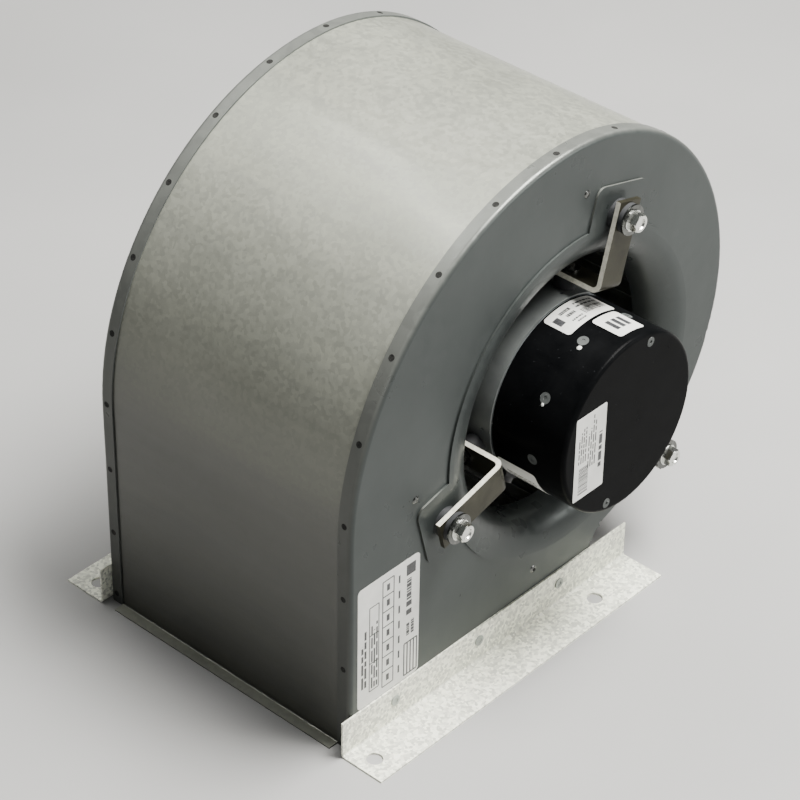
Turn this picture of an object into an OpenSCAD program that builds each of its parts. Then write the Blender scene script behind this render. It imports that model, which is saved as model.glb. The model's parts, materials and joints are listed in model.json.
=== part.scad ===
// Double-inlet centrifugal blower with a direct-drive motor held in one inlet.
// X runs along the fan shaft towards the motor, -Y is the flat front of the scroll, Z is up.
// The origin is the centre of the foot bolt pattern, on the surface that the fan stands on.
// Air enters both side plates and leaves through the open bottom of the housing.

/* [Housing] */
// Width over the two side plates
housing_w = 262; // [256:1:290]
// Height of the fan shaft above the base
axis_z = 203; // [200:1:215]
// Distance of the fan shaft behind the centre of the foot bolt pattern
axis_y = 111; // [105:1:116]
// Distance from the shaft to the flat front of the housing
front_dist = 246; // [240:1:260]
// Distance from the shaft to the top of the housing
top_dist = 222; // [216:1:232]
// Distance from the shaft to the back of the housing
back_dist = 182; // [178:1:190]
// Distance of the arc centres ahead of the shaft
arc_shift = 12; // [8:1:16]
// Step in radius from the upper back arc to the lower one
arc_step = 4; // [2:0.5:8]
// Depth of the outlet from its front to the cut-off wall
outlet_l = 283; // [275:1:290]
// Outside radius of the cut-off bend
cutoff_r = 9; // [7:0.5:11]
// Thickness of the wrapper sheet
wrap_t = 1; // [0.8:0.1:1.5]
// Thickness of the side plates
plate_t = 1.2; // [1:0.1:1.6]
// Width of the rim that folds over the wrapper
rim_w = 13; // [10:0.5:18]
// Outside bend radius of the rim
rim_bend_r = 4; // [3:0.5:5]
// Reach of the lips bent out at the outlet
lip_l = 10; // [7:0.5:14]
// Inside bend radius of the lips
lip_bend_r = 1.5; // [1:0.5:3]

/* [Inlets] */
// Radius of the inlet throat
throat_r = 107.5; // [106:0.5:110]
// Distance of the outer edge of the bell mouth in from the back of the housing
bell_in = 44.5; // [40:0.5:50]
// Width of the raised ring around the bell mouth
inlet_ring_w = 4.5; // [3:0.5:6]
// Height of the raised ring and arm pads
pad_h = 1.6; // [1.2:0.1:2.4]
// Width of each raised arm pad
pad_w = 60; // [50:1:66]
// Corner radius of the arm pads
pad_corner_r = 8; // [5:0.5:12]
// Reach of the pad past the arm bolt
pad_end = 24; // [20:0.5:26]

/* [Feet] */
// Length of each foot angle
foot_l = 333; // [320:1:345]
// Reach of the foot in front of the front hole
foot_front = 15; // [12:0.5:20]
// Height of the upright leg
foot_h = 34; // [30:0.5:36]
// Width of the level leg
foot_w = 41; // [38:0.5:46]
// Thickness of the angle
foot_t = 1.5; // [1.2:0.1:2]
// Inside bend radius of the angle
foot_bend_r = 2; // [1:0.5:3]
// Spacing of the foot holes from front to back
foot_hole_y = 258.6; // [250:0.2:265]
// Distance of the foot holes from the side plate
foot_hole_x = 20.3; // [18:0.1:24]
// Diameter of the foot holes
foot_hole_d = 13; // [9:0.5:14]
// Diameter of the clinch buttons
clinch_d = 9; // [7:0.5:11]
// Height of the clinch buttons
clinch_h = 0.9; // [0.5:0.1:1.5]
// Height of the clinch buttons above the base
clinch_z = 20.8; // [16:0.2:24]
// Distance between neighbouring clinch buttons
clinch_pitch = 96; // [80:1:110]

// Radius of the dome rivet above each foot
rivet_r = 3.5; // [2.5:0.5:5]
// Height of the dome rivet
rivet_h = 1.4; // [1:0.1:2]
// Radius of the dome of that rivet
rivet_dome_r = 5.1; // [5.1:0.1:8]

/* [Motor] */
// Diameter of the black control housing
can_d = 151; // [146:0.5:152]
// Length of the control housing
can_l = 70; // [60:1:80]
// How far the control housing stands out of the side plate
can_reach = 55; // [45:1:65]
// Wall of the control housing
can_t = 3; // [2:0.1:4]
// Edge radius of the control housing
can_edge_r = 3.5; // [2:0.5:6]
// Diameter of the motor shell
shell_d = 150; // [146:0.5:151]
// Length of the motor shell
shell_l = 92; // [84:1:100]
// Wall of the motor shell
shell_t = 2.2; // [1.5:0.1:3]
// Thickness of the belly band and of its saddles
band_t = 1.2; // [0.8:0.1:2]
// Width of the belly band
band_w = 34; // [24:1:44]
// Width of the saddle plates
saddle_w = 62; // [50:1:70]
// Corner radius of the saddle plates
saddle_corner_r = 6; // [4:0.5:8]
// Angle of a saddle plate past its arm on the free side
saddle_end = 14.7; // [12:0.1:20]
// Angle of the front saddle plate past the front arm
saddle_low_end = 7.5; // [7:0.1:12]
// Diameter of the shaft
shaft_d = 12.7; // [10:0.1:14]
// Outside diameter of the bearings
bearing_d = 32; // [30:0.5:35]
// Width of the bearings
bearing_w = 10; // [9:0.5:12]
// Length of the stator core
core_l = 50; // [40:1:54]
// Bore of the stator core
core_bore_d = 86; // [80:0.5:90]
// Thickness of the magnets
magnet_t = 3.4; // [2:0.1:5]
// Number of magnets around the rotor
magnet_count = 8; // [6:2:12]
// Number of rivets around the control housing
can_rivet_count = 9; // [6:1:12]
// Diameter of the rivets around the control housing
can_rivet_d = 9; // [6:0.5:10]
// Radius of the screws in the face of the control housing
face_screw_r = 4; // [2:0.5:5]
// Angle of those screws
face_screw_a = 72; // [40:1:110]

/* [Arms] */
// Angle of the first arm from the back, seen from the motor side
arm_angle = 74.7; // [60:0.1:80]
// Distance of the arm bolts outside the edge of the bell mouth
arm_bolt_out = 13.5; // [12:0.5:15]
// Width of the arm strip
arm_w = 25; // [20:0.5:28]
// Thickness of the arm strip
arm_t = 4; // [3:0.1:5]
// Inside bend radius of the arm
arm_bend_r = 4; // [3:0.5:6]
// Length of the arm past its bolt
arm_end = 13.5; // [12:0.5:16]
// Thickness of the rubber grommet under the arm
grommet_t = 5.5; // [4:0.1:7]
// Thickness of the rubber bush over the arm
bush_t = 4; // [3:0.1:5]
// Diameter of the rubber bush and grommet
bush_d = 24; // [20:0.5:26]
// Diameter of the spigots on the bush and grommet
spigot_d = 13; // [11:0.5:15]
// Thickness of the large washers
washer_t = 1.6; // [1.2:0.1:2.4]
// Diameter of the large washers
washer_d = 25; // [20:0.5:28]
// Diameter of the arm bolts
bolt_d = 8; // [6:1:8]
// Gap between the belly band and the inner leg of an arm
leg_gap = 11.5; // [8:0.1:13]
// Diameter of the rubber mounts and washers under the band screws
mount_d = 18; // [14:0.5:20]
// Distance from the rear of the control housing to the band screws
screw_in = 15; // [12:0.5:18]
// Length of the inner leg past the band screws
leg_end = 14; // [12:0.5:16]
// Diameter of the band screws
screw_d = 6; // [5:1:6]

/* [Impeller] */
// Outside diameter of the impeller
wheel_d = 270; // [264:1:276]
// Width of the impeller
wheel_w = 200; // [190:1:201]
// Radial depth of the blades
blade_depth = 17.5; // [15:0.1:18]
// Thickness of the blades
blade_t = 0.9; // [0.6:0.1:1.4]
// Number of blades in each row
blade_count = 44; // [24:1:48]
// Thickness of the end rings
ring_t = 1.5; // [1:0.1:2.5]
// Width of the lip on the end rings
ring_lip = 7; // [5:0.5:10]
// Thickness of the centre disc
disc_t = 1.5; // [1:0.1:3]
// Diameter of the hub barrel
hub_d = 34; // [30:0.5:38]
// Diameter of the hub flange
hub_flange_d = 68; // [60:1:76]
// Thickness of the hub flange
hub_flange_t = 4; // [3:0.1:6]
// Length of the hub barrel past its flange
hub_l = 22; // [18:0.5:28]
// Diameter of the hub rivets
hub_rivet_d = 6; // [4:0.5:8]

/* [Hidden] */
$fn = 96;

// Clearances: sheet against sheet, a part in its hole, the shaft in a bearing, past a surface
fit_gap = 0.2;
hole_gap = 0.3;
running_gap = 0.03;
eps = 1;
bend_fn = 28;

// Scroll: the front, top and back planes and the centres of the three arcs
front_y = axis_y - front_dist;
arc_front_r = front_dist - arc_shift;
arc_top_r = back_dist + arc_shift;
arc_back_r = arc_top_r - arc_step;
top_z = axis_z + top_dist;
outlet_y = front_y + outlet_l;
arc_front_c = [front_y + arc_front_r, top_z - arc_front_r];
arc_top_c = [arc_front_c[0], top_z - arc_top_r];
arc_back_c = [arc_top_c[0] + arc_top_r - arc_back_r, arc_top_c[1]];
cutoff_side = outlet_y + cutoff_r - arc_back_c[0];
cutoff_drop = sqrt(pow(arc_back_r + cutoff_r, 2) - pow(cutoff_side, 2));
cutoff_c = [outlet_y + cutoff_r, arc_back_c[1] - cutoff_drop];
cutoff_a = atan2(cutoff_drop, cutoff_side);
cutoff_blend = 2 * [sin(cutoff_a), cos(cutoff_a)];
cutoff_relief = 6;
relief_a = cutoff_relief / arc_back_r * 180 / PI;

// Stations along the shaft
band_in = 3;
plate_x = housing_w / 2;
pad_x = plate_x + pad_h;
arm_x = pad_x + grommet_t;
can_face_x = plate_x + can_reach;
can_rear_x = can_face_x - can_l;
shell_x = can_rear_x - fit_gap - shell_l;
screw_x = can_rear_x - screw_in;
saddle_x = can_rear_x - fit_gap - saddle_w;
band_x = saddle_x + band_in;
band_split = 2;
wrap_half = plate_x - rim_bend_r;
lip_half = plate_x - rim_w - fit_gap;
wrap_inset = plate_t + fit_gap;
ring_x = wheel_w / 2 - ring_t;

// Inlet ring, bell mouth and arm pads
crease_r = back_dist - bell_in;
bell_r = crease_r - throat_r;
arm_bolt_r = crease_r + arm_bolt_out;
pad_reach = arm_bolt_r + pad_end;
bell_x = pad_x - bell_r;

// Motor and arms, as radii from the shaft
shell_r = shell_d / 2;
can_r = can_d / 2;
band_r = shell_r + fit_gap;
saddle_r = band_r + band_t + fit_gap;
mount_r = saddle_r + band_t;
leg_r = mount_r + leg_gap;
arm_outer_r = arm_bolt_r + arm_end;
hex_ratio = 0.94;
head_h = 0.66 * bolt_d;
nut_h = 0.8 * bolt_d;
bolt_tip = 2;
screw_head_h = 0.66 * screw_d;
screw_tip = 1;

// Impeller
blade_in_r = wheel_d / 2 - ring_t - hole_gap - blade_depth;
blade_out_r = blade_in_r + blade_depth;
blade_lean = 20;
blade_turn = 60;
blade_arc_r = blade_depth / (sin(blade_lean) + sin(blade_turn)) * 0.985;
disc_r = blade_out_r - 0.5;
hub_rivet_r = (hub_d + hub_flange_d) / 4;
hub_back = 5;
rivet_head_h = 1.5;
set_screw_r = 4;
set_screw_out = 2;
shaft_past_hub = 6;
shaft_chamfer = 1;
air_gap = 0.6;
magnet_space = 4;

// Motor internals
shield_t = 4;
bearing_lip = 2;
spigot_w = 6;
boss_wall = 6;
boss_out = 3;
vent_r = 8;
shell_open_x = shell_x + shell_l;
bearing_in_x = shell_x + bearing_lip - boss_out;
bearing_out_x = shell_open_x - bearing_lip + boss_out - bearing_w;
core_x = shell_x + (shell_l - core_l) / 2;
winding_l = 10;
winding_round = 3;
winding_in = 4;
winding_out = 7;
lamination_w = 1;
housing_rivet_in = 1.6;
housing_rivet_low = 0.15;
housing_rivet_dent = 0.6;
screw_sink = 1.2;
board_x = can_rear_x + 12;
board_t = 1.6;
board_r = can_r - can_t - 6;
post_r = 3.5;
post_at = 0.66 * can_r;
capacitor_r = 13;
capacitor_at = 0.42 * can_r;
capacitor_groove = 1;
gland_d = 12;
gland_out = 9;
gland_nut_h = 4;
gland_a = 236;
gland_x = can_rear_x - 10;
foot_hole_pos = plate_x + foot_hole_x;
rivet_in = 74;
rivet_y = outlet_y - rivet_in;
rivet_z = foot_h + 19;

// ---------- helpers ----------

// Turns a shape drawn in Y and Z and raised along its own Z so that it rises along X
module along_x() {
    rotate([90, 0, 90]) children();
}

// Moves to the fan shaft
module at_shaft() {
    translate([0, axis_y, axis_z]) children();
}

// A profile of radius and station, revolved about the fan shaft
module turned() {
    at_shaft() along_x() rotate_extrude() children();
}

// A rectangle from its two corners
module rect(a, b) {
    translate([min(a[0], b[0]), min(a[1], b[1])])
        square([abs(b[0] - a[0]), abs(b[1] - a[1])]);
}

// A quarter of a ring: qx and qy choose the quadrant
module quarter_ring(c, outer, inner, qx, qy) {
    translate(c) intersection() {
        difference() {
            circle(r = outer, $fn = bend_fn);
            circle(r = inner, $fn = bend_fn);
        }
        rect([0, 0], [qx * outer * 2, qy * outer * 2]);
    }
}

// Three copies at the arm stations: there Y is radial, Z is across the arm and X is axial
module at_arm(i) {
    at_shaft() rotate([arm_angle + 120 * i, 0, 0]) children();
}

module at_arms() {
    for (i = [0:2]) at_arm(i) children();
}

// A cylinder along X between two stations
module rod_x(x1, x2, r, sides = 96) {
    translate([min(x1, x2), 0, 0]) rotate([0, 90, 0])
        cylinder(r = r, h = abs(x2 - x1), $fn = sides);
}

// A cylinder along Y between two radii
module rod_y(y1, y2, r, sides = 96) {
    translate([0, y2, 0]) rotate([90, 0, 0]) cylinder(r = r, h = y2 - y1, $fn = sides);
}

// Both sides of the housing: the children are drawn on the motor side
module on_side(side) {
    if (side > 0) children();
    else mirror([1, 0, 0]) children();
}

// ---------- housing ----------

// Outline of the housing in Y and Z, moved in by a given distance, from low_z upwards.
// The cut-off has its own distance, because the side plates have no rim there.
module scroll_2d(inset, cutoff_inset, low_z = 0) {
    translate(arc_back_c) circle(r = arc_back_r - inset);
    intersection() {
        translate(arc_top_c) circle(r = arc_top_r - inset);
        translate([arc_top_c[0] - arc_top_r, arc_top_c[1]]) square([2 * arc_top_r, arc_top_r]);
    }
    intersection() {
        translate(arc_front_c) circle(r = arc_front_r - inset);
        translate([arc_front_c[0] - arc_front_r, arc_front_c[1]]) square(arc_front_r);
    }
    difference() {
        polygon([
            [front_y + inset, low_z], [front_y + inset, arc_front_c[1]], arc_top_c, arc_back_c,
            arc_back_c + cutoff_blend, cutoff_c + cutoff_blend, cutoff_c,
            [outlet_y - inset, cutoff_c[1]], [outlet_y - inset, low_z]
        ]);
        translate(cutoff_c) circle(r = cutoff_r + cutoff_inset);
    }
}

// Section of a lip that bends out of the foot of a wall, which it follows up to a height
module lip_2d(high) {
    rect([0, wrap_t + lip_bend_r], [wrap_t, high]);
    quarter_ring([-lip_bend_r, wrap_t + lip_bend_r], wrap_t + lip_bend_r, lip_bend_r, 1, -1);
    rect([-lip_l, 0], [-lip_bend_r, wrap_t]);
}

module scroll_wrap() color("#9fa49a") {
    wall_low = wrap_t + lip_bend_r;
    overlap = 5;
    along_x() translate([0, 0, -wrap_half]) linear_extrude(2 * wrap_half) difference() {
        scroll_2d(wrap_inset, wrap_inset, wall_low);
        scroll_2d(wrap_inset + wrap_t, wrap_inset + wrap_t, wall_low - eps);
    }
    // Both walls run on down to the base under the rims
    for (y = [front_y + wrap_inset, outlet_y - wrap_inset - wrap_t])
        for (x = [-wrap_half, lip_half])
            translate([x, y, 0]) cube([wrap_half - lip_half, wrap_t, wall_low + overlap]);
    along_x() translate([0, 0, -lip_half]) linear_extrude(2 * lip_half) {
        translate([front_y + wrap_inset, 0]) lip_2d(wall_low + overlap);
        translate([outlet_y - wrap_inset, 0]) mirror([1, 0]) lip_2d(wall_low + overlap);
    }
}

// Section of the folded rim: u runs in from the outline, the second axis is X
module rim_2d() {
    quarter_ring([rim_bend_r, plate_x - rim_bend_r], rim_bend_r, rim_bend_r - plate_t, -1, 1);
    rect([0, plate_x - rim_w], [plate_t, plate_x - rim_bend_r]);
    rect([rim_bend_r, plate_x - plate_t], [rim_bend_r + eps, plate_x]);
}

// The rim swept around one arc of the outline
module rim_arc(c, r, from, sweep) {
    along_x() translate([c[0], c[1], 0]) rotate([0, 0, from]) rotate_extrude(angle = sweep)
        translate([r, 0]) mirror([1, 0]) rim_2d();
}

// The rim follows the outline and is relieved on both sides of the tight bend at the cut-off
module rim() {
    rim_arc(arc_front_c, arc_front_r, 90, 90);
    rim_arc(arc_top_c, arc_top_r, 0, 90);
    rim_arc(arc_back_c, arc_back_r, relief_a - cutoff_a, cutoff_a - relief_a);
    translate([0, front_y, 0]) mirror([1, -1, 0]) linear_extrude(arc_front_c[1]) rim_2d();
    translate([0, outlet_y, 0]) rotate([0, 0, -90])
        linear_extrude(cutoff_c[1] - cutoff_relief) rim_2d();
}

// Raised area around the inlet, with a pad under each arm
module pad_2d(inset, pads) {
    circle(r = crease_r + inlet_ring_w - inset);
    if (pads) for (i = [0:2]) rotate(arm_angle + 120 * i) {
        half = pad_w / 2 - inset;
        corner = pad_corner_r - inset;
        end = pad_reach - inset;
        rect([crease_r - bell_r / 2, -half], [end - corner, half]);
        rect([crease_r - bell_r / 2, -half + corner], [end, half - corner]);
        for (s = [-1, 1]) translate([end - corner, s * (half - corner)]) circle(r = corner);
    }
}

// The raised area in the frame of the housing, kept off the rim
module raised_2d(inset, pads) {
    intersection() {
        translate([axis_y, axis_z]) pad_2d(inset, pads);
        scroll_2d(rim_bend_r + 1 + inset, rim_bend_r + 1 + inset);
    }
}

module side_plate(pads) {
    difference() {
        union() {
            rim();
            along_x() {
                translate([0, 0, plate_x - plate_t]) linear_extrude(plate_t) difference() {
                    scroll_2d(rim_bend_r, 0);
                    raised_2d(plate_t, pads);
                }
                // Wall and floor of the raised area
                translate([0, 0, plate_x - plate_t]) linear_extrude(pad_h + plate_t) difference() {
                    raised_2d(0, pads);
                    raised_2d(plate_t, pads);
                }
                translate([0, 0, pad_x - plate_t]) linear_extrude(plate_t) difference() {
                    raised_2d(plate_t / 2, pads);
                    translate([axis_y, axis_z]) circle(r = crease_r + 0.5);
                }
            }
            turned() {
                quarter_ring([crease_r, bell_x], bell_r, bell_r - plate_t, -1, 1);
                rect([crease_r, pad_x - plate_t], [crease_r + eps, pad_x]);
            }
        }
        if (pads) at_arms() translate([0, arm_bolt_r, 0])
            rod_x(pad_x - 2 * plate_t, pad_x + eps, bolt_d / 2 + hole_gap);
    }
}

module motor_side_plate() color("#5f6564") side_plate(true);

module far_side_plate() color("#5f6564") mirror([1, 0, 0]) side_plate(false);

// One foot angle, drawn on the motor side
module foot() {
    foot_y = -foot_hole_y / 2 - foot_front;
    corner = [foot_t + foot_bend_r, foot_t + foot_bend_r];
    difference() {
        translate([plate_x, foot_y + foot_l, 0]) rotate([90, 0, 0]) linear_extrude(foot_l) {
            quarter_ring(corner, foot_t + foot_bend_r, foot_bend_r, -1, -1);
            rect([0, corner[1]], [foot_t, foot_h]);
            rect([corner[0], 0], [foot_w, foot_t]);
        }
        for (s = [-1, 1]) translate([foot_hole_pos, s * foot_hole_y / 2, -eps])
            cylinder(d = foot_hole_d, h = foot_t + 2 * eps);
    }
}

module motor_side_foot() color("#d9dccd") foot();

module far_side_foot() color("#d9dccd") mirror([1, 0, 0]) foot();

// Clinched buttons that join each foot to its side plate
module foot_clinches() color("#c9ccbd") {
    clinch_y0 = (outlet_y + front_y) / 2 - clinch_pitch + 3;
    for (side = [-1, 1], k = [0:2]) on_side(side)
        translate([plate_x + foot_t, clinch_y0 + k * clinch_pitch, clinch_z]) rotate([0, 90, 0])
            rotate_extrude() difference() {
                rect([0, 0], [clinch_d / 2, clinch_h]);
                rect([0, clinch_h / 2], [clinch_d / 4, clinch_h + eps]);
            }
}

// Dome rivets in the side plates, just above the feet
module plate_rivets() color("#a9ada3") {
    for (side = [-1, 1]) on_side(side) translate([plate_x, rivet_y, rivet_z])
        rotate([0, 90, 0]) rotate_extrude() intersection() {
            translate([0, rivet_h - rivet_dome_r]) circle(r = rivet_dome_r);
            rect([0, 0], [rivet_r, rivet_h]);
        }
}

// ---------- arms ----------

// One bent strip: an outer leg along the side plate and an inner leg over the motor
module arm() color("#97917c") {
    out_x = arm_x + arm_t;
    bend = arm_bend_r + arm_t;
    difference() {
        translate([0, 0, -arm_w / 2]) linear_extrude(arm_w) {
            rect([arm_x, leg_r + bend], [out_x, arm_outer_r]);
            rect([screw_x - leg_end, leg_r], [out_x - bend, leg_r + arm_t]);
            quarter_ring([out_x - bend, leg_r + bend], bend, arm_bend_r, 1, -1);
        }
        translate([0, arm_bolt_r, 0]) rod_x(arm_x - eps, out_x + eps, spigot_d / 2 + hole_gap);
        translate([screw_x, 0, 0]) rod_y(leg_r - eps, leg_r + arm_t + eps, screw_d / 2 + hole_gap);
    }
}

module arm_top() at_arm(0) arm();

module arm_front() at_arm(1) arm();

module arm_back() at_arm(2) arm();

// A rubber disc with a bore and a spigot that enters the arm's hole
module rubber_disc(x, t, spigot_l) {
    translate([x, arm_bolt_r, 0]) rotate([0, 90, 0]) difference() {
        union() {
            cylinder(d = bush_d, h = t);
            translate([0, 0, -spigot_l]) cylinder(d = spigot_d, h = spigot_l + eps);
        }
        translate([0, 0, -spigot_l - eps]) cylinder(d = bolt_d + 2 * hole_gap, h = 2 * t + spigot_l);
    }
}

module arm_grommets() color("#23262a") at_arms()
    mirror([1, 0, 0]) rubber_disc(-arm_x, grommet_t, arm_t / 2 - fit_gap);

module arm_bushes() color("#23262a") at_arms()
    rubber_disc(arm_x + arm_t, bush_t, arm_t / 2 - fit_gap);

module arm_washers() color("#c4c7c0") at_arms() translate([arm_x + arm_t + bush_t, arm_bolt_r, 0])
    rotate([0, 90, 0]) difference() {
        cylinder(d = washer_d, h = washer_t);
        translate([0, 0, -eps]) cylinder(d = bolt_d + 2 * hole_gap, h = washer_t + 2 * eps);
    }

// Hexagon bolts through the washer, bush, arm and grommet into the nut behind the plate
module arm_bolts() color("#d0d2c8") at_arms() {
    head_x = arm_x + arm_t + bush_t + washer_t;
    translate([0, arm_bolt_r, 0]) {
        intersection() {
            rod_x(head_x, head_x + head_h, hex_ratio * bolt_d, 6);
            rotate([0, 90, 0]) rotate_extrude() polygon([
                [0, head_x], [bolt_d, head_x], [bolt_d, head_x + 0.7 * head_h],
                [0.74 * bolt_d, head_x + head_h], [0, head_x + head_h]
            ]);
        }
        rod_x(pad_x - plate_t - nut_h - bolt_tip, head_x + eps, bolt_d / 2);
    }
}

module arm_nuts() color("#c4c7c0") at_arms() translate([0, arm_bolt_r, 0]) difference() {
    rod_x(pad_x - plate_t - nut_h, pad_x - plate_t, hex_ratio * bolt_d, 6);
    rod_x(pad_x - plate_t - nut_h - eps, pad_x, bolt_d / 2 + fit_gap / 2);
}

// Rubber mounts between the saddles on the belly band and the inner legs of the arms
module band_mounts() color("#23262a") at_arms() translate([screw_x, 0, 0]) difference() {
    rod_y(mount_r + fit_gap, leg_r, mount_d / 2);
    rod_y(mount_r - eps, leg_r + eps, screw_d / 2 + hole_gap);
}

module band_washers() color("#c4c7c0") at_arms() translate([screw_x, 0, 0]) difference() {
    rod_y(leg_r + arm_t, leg_r + arm_t + washer_t, mount_d / 2);
    rod_y(leg_r, leg_r + arm_t + washer_t + eps, screw_d / 2 + hole_gap);
}

module band_screws() color("#d0d2c8") at_arms() translate([screw_x, 0, 0]) {
    head_r = leg_r + arm_t + washer_t;
    rod_y(head_r, head_r + screw_head_h, hex_ratio * screw_d, 6);
    rod_y(shell_r - shell_t - screw_tip, head_r + eps, screw_d / 2);
}

// ---------- motor ----------

// A tube about the shaft between two stations
module tube(x1, x2, outer, inner) {
    difference() {
        rod_x(x1, x2, outer);
        rod_x(x1 - eps, x2 + eps, inner);
    }
}

// Holes in what the band screws pass through
module band_screw_holes() {
    for (i = [0:2]) rotate([arm_angle + 120 * i, 0, 0]) translate([screw_x, 0, 0])
        rod_y(shell_r / 2, leg_r, screw_d / 2 + hole_gap);
}

module belly_band() color("#7d8279") at_shaft() difference() {
    tube(band_x, band_x + band_w, band_r + band_t, band_r);
    // The ends of the band meet with a gap at the bottom
    translate([band_x - eps, -band_split / 2, -leg_r])
        cube([band_w + 2 * eps, band_split, leg_r - shell_r / 2]);
}

// A curved plate between two angles, with round corners at both ends
module saddle(from, to) {
    corner = saddle_corner_r;
    difference() {
        rotate([from, 0, 0]) along_x() rotate_extrude(angle = to - from)
            rect([saddle_r, saddle_x], [saddle_r + band_t, saddle_x + saddle_w]);
        for (end = [0, 1], side = [0, 1]) rotate([end ? to : from, 0, 0])
            mirror([0, 0, end]) translate([saddle_x + side * saddle_w, leg_r, 0])
                mirror([side, 0, 0]) rotate([90, 0, 0]) linear_extrude(leg_r / 2) difference() {
                    rect([-eps, -eps], [corner - fit_gap, corner - fit_gap]);
                    translate([1, 1] * (corner - fit_gap)) circle(r = corner);
                }
    }
}

// Curved plates over the band: the long front one carries two arms, the back one carries one
module band_saddles() color("#858a80") at_shaft() difference() {
    union() {
        saddle(arm_angle - saddle_end, arm_angle + 120 + saddle_low_end);
        saddle(arm_angle + 240 - saddle_end, arm_angle + 240 + saddle_end);
    }
    band_screw_holes();
    for (a = [arm_angle + 8, arm_angle + 120 - 12]) rotate([a, 0, 0])
        translate([can_rear_x - 8, 0, 0]) rod_y(shell_r / 2, leg_r, 1.6);
}

module motor_shell() color("#3c4040") difference() {
    at_shaft() difference() {
        tube(shell_x, shell_open_x, shell_r, shell_r - shell_t);
        band_screw_holes();
    }
    at_gland() rod_y(shell_r / 2, can_r, gland_d / 2 + fit_gap);
}

// Half section of an end shield from its outer face at 0: plate, bearing boss and spigot
module shield_2d() {
    bore = bearing_d / 2;
    boss = bore + boss_wall;
    spigot_r = shell_r - shell_t - fit_gap;
    difference() {
        union() {
            rect([0, -boss_out], [boss, bearing_w + bearing_lip - boss_out]);
            rect([0, 0], [spigot_r, shield_t]);
            rect([spigot_r - spigot_w, 0], [spigot_r, 2 * shield_t]);
        }
        rect([0, -eps - boss_out], [shaft_d / 2 + bearing_lip, bearing_w + bearing_lip]);
        rect([0, bearing_lip - boss_out], [bore, bearing_w + bearing_lip + eps]);
    }
}

// Round vents through an end shield, between its boss and its spigot
module shield_vents(x) {
    at_shaft() for (k = [0:5]) rotate([60 * k, 0, 0]) translate([0, 0.6 * shell_r, 0])
        rod_x(x - 2 * shield_t, x + 2 * shield_t, vent_r);
}

module drive_end_shield() color("#8c8f8c") difference() {
    turned() {
        translate([0, shell_x]) shield_2d();
        rect([shell_r - spigot_w, shell_x - shield_t / 2], [shell_r, shell_x]);
    }
    shield_vents(shell_x);
}

module control_end_shield() color("#8c8f8c") difference() {
    turned() translate([0, shell_open_x]) mirror([0, 1]) shield_2d();
    shield_vents(shell_open_x);
}

module bearing(x) {
    turned() difference() {
        rect([shaft_d / 2 + running_gap, x], [bearing_d / 2, x + bearing_w]);
        for (s = [0, 1]) translate([(shaft_d + bearing_d) / 4, x + s * bearing_w])
            rect([-bearing_d / 16, -0.5], [bearing_d / 16, 0.5]);
    }
}

module drive_end_bearing() color("#b8bab6") bearing(bearing_in_x);

module control_end_bearing() color("#b8bab6") bearing(bearing_out_x);

module stator_core() color("#6a6a66") turned() difference() {
    rect([core_bore_d / 2, core_x], [shell_r - shell_t - fit_gap, core_x + core_l]);
    for (k = [1:4]) translate([shell_r - shell_t, core_x + k * core_l / 5])
        circle(r = lamination_w);
}

// End turns of the windings, on both faces of the core
module stator_windings() color("#b87333") for (x = [core_x - winding_l, core_x + core_l])
    turned() {
        low = core_bore_d / 2 + winding_in;
        high = shell_r - shell_t - winding_out;
        round = winding_round;
        rect([low, x + round], [high, x + winding_l - round]);
        rect([low + round, x], [high - round, x + winding_l]);
        for (r = [low + round, high - round], u = [x + round, x + winding_l - round])
            translate([r, u]) circle(r = round);
    }

// Deep cup over the control electronics, closed towards the outside
module control_housing() color("#1c1f21") difference() {
    turned() difference() {
        union() {
            rect([0, can_rear_x], [can_r - can_edge_r, can_face_x]);
            rect([0, can_rear_x], [can_r, can_face_x - can_edge_r]);
            translate([can_r - can_edge_r, can_face_x - can_edge_r]) circle(r = can_edge_r);
        }
        rect([-eps, can_rear_x - eps], [can_r - can_t, can_face_x - can_t]);
        rect([-can_d, can_rear_x - eps], [0, can_face_x + eps]);
    }
    at_housing_rivets() rod_y(can_r - housing_rivet_in, can_r + eps, can_rivet_d / 2 + fit_gap);
    at_face_screws() rod_x(can_face_x - 1.2, can_face_x + eps, 4 + fit_gap);
}

// The row of rivets halfway along the control housing
module at_housing_rivets() {
    rivet_x = (can_rear_x + can_face_x) / 2 + 4.5;
    at_shaft() for (k = [0:can_rivet_count - 1])
        rotate([arm_angle + 32 + k * 360 / can_rivet_count, 0, 0]) translate([rivet_x, 0, 0]) children();
}

module housing_rivets() color("#33383a") at_housing_rivets() difference() {
    rod_y(can_r - housing_rivet_in, can_r - housing_rivet_low, can_rivet_d / 2);
    rod_y(can_r - housing_rivet_dent, can_r + eps, can_rivet_d / 5);
}

module at_face_screws() {
    at_shaft() for (side = [0, 180]) rotate([face_screw_a + side, 0, 0])
        translate([0, can_r - 2 * face_screw_r, 0]) children();
}

module face_screws() color("#3a3f41") at_face_screws() difference() {
    rod_x(can_face_x - screw_sink, can_face_x + hole_gap, face_screw_r);
    rod_x(can_face_x - screw_sink / 2, can_face_x + eps, 0.4 * face_screw_r, 6);
}

// Round circuit board on three posts that stand on the end shield
module control_board() color("#2f5d3a") at_shaft() {
    rod_x(board_x, board_x + board_t, board_r);
    for (k = [0:2]) rotate([60 + 120 * k, 0, 0]) translate([0, post_at, 0])
        rod_x(shell_open_x, board_x, post_r);
}

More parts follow.
